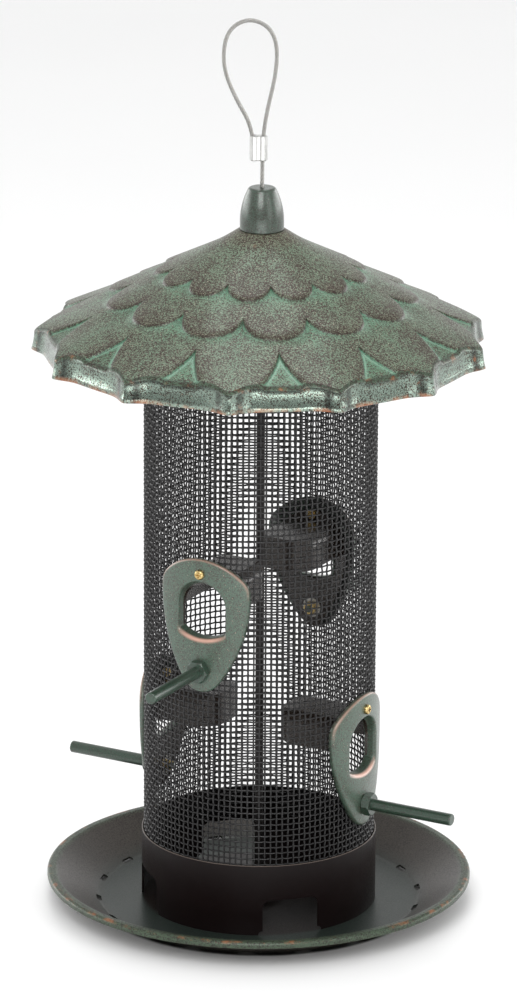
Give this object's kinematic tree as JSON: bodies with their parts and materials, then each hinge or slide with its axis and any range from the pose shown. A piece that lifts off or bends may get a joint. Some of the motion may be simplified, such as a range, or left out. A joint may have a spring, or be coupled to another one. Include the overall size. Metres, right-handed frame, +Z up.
{
  "type": "bird feeder",
  "caption": "Hanging tube bird feeder of woven wire with a petal roof, feeding ports with perches, an arched collar, a seed tray and a wire-rope loop.",
  "frame": {"origin": "centre of the flat underside of the tray, on the tube's axis", "axes": "+Z up along the tube; the upper ports face -Y and +Y, the lower ports face +X and -X"},
  "size_m": [0.2603, 0.262, 0.5253],
  "materials": {
    "patina_roof": "hammered verdigris paint with brown speckle",
    "patina_tray": "satin grey-green paint with brown speckle",
    "patina_port": "hammered green paint with fine brown speckle",
    "dark_collar": "satin black-brown paint",
    "black_wire": "black coated wire",
    "dark_rod": "dark satin",
    "green_satin": "satin dark green paint",
    "plated_steel": "zinc plated",
    "wire_rope": "galvanised wire rope",
    "ferrule": "crimped",
    "brass": "satin"
  },
  "bodies": {
    "feeder": {"tray": "patina_tray", "base_collar": "dark_collar", "mesh_tube": "black_wire", "mesh_hoops": "black_wire", "top_ring": "black_wire", "crossbar": "black_wire", "tie_rod": "dark_rod", "rod_nuts": "plated_steel", "rod_washers": "plated_steel", "port_screws": "brass", "port_screw_nuts": "brass", "perch_washers": "brass", "perch_nuts": "brass", "upper_front_port_plate": "patina_port", "upper_front_port_hood": "patina_port", "upper_front_perch": "green_satin", "lower_right_port_plate": "patina_port", "lower_right_port_hood": "patina_port", "lower_right_perch": "green_satin", "upper_back_port_plate": "patina_port", "upper_back_port_hood": "patina_port", "upper_back_perch": "green_satin", "lower_left_port_plate": "patina_port", "lower_left_port_hood": "patina_port", "lower_left_perch": "green_satin"},
    "roof": {"roof": "patina_roof"},
    "hanger": {"hanger_cable": "wire_rope", "cable_stop": "ferrule", "crimp_ferrule": "ferrule"},
    "finial": {"finial_knob": "green_satin", "thread_insert": "brass"}
  },
  "joints": [
    {"name": "roof_lift", "type": "slide", "parent": "feeder", "child": "roof", "axis": [0, 0, 1], "range_m": [0, 0.09]},
    {"name": "hanger_rise", "type": "slide", "parent": "roof", "child": "hanger", "axis": [0, 0, 1], "range_m": [0, 0.00805]},
    {"name": "finial_turn", "type": "hinge", "parent": "hanger", "child": "finial", "pos_m": [0, 0, 0.41], "axis": [0, 0, 1], "range_deg": [0, 3600]}
  ],
  "couplings": [
    {"joint": "hanger_rise", "follows": "finial_turn", "m_per_rad": 0.00012732}
  ]
}
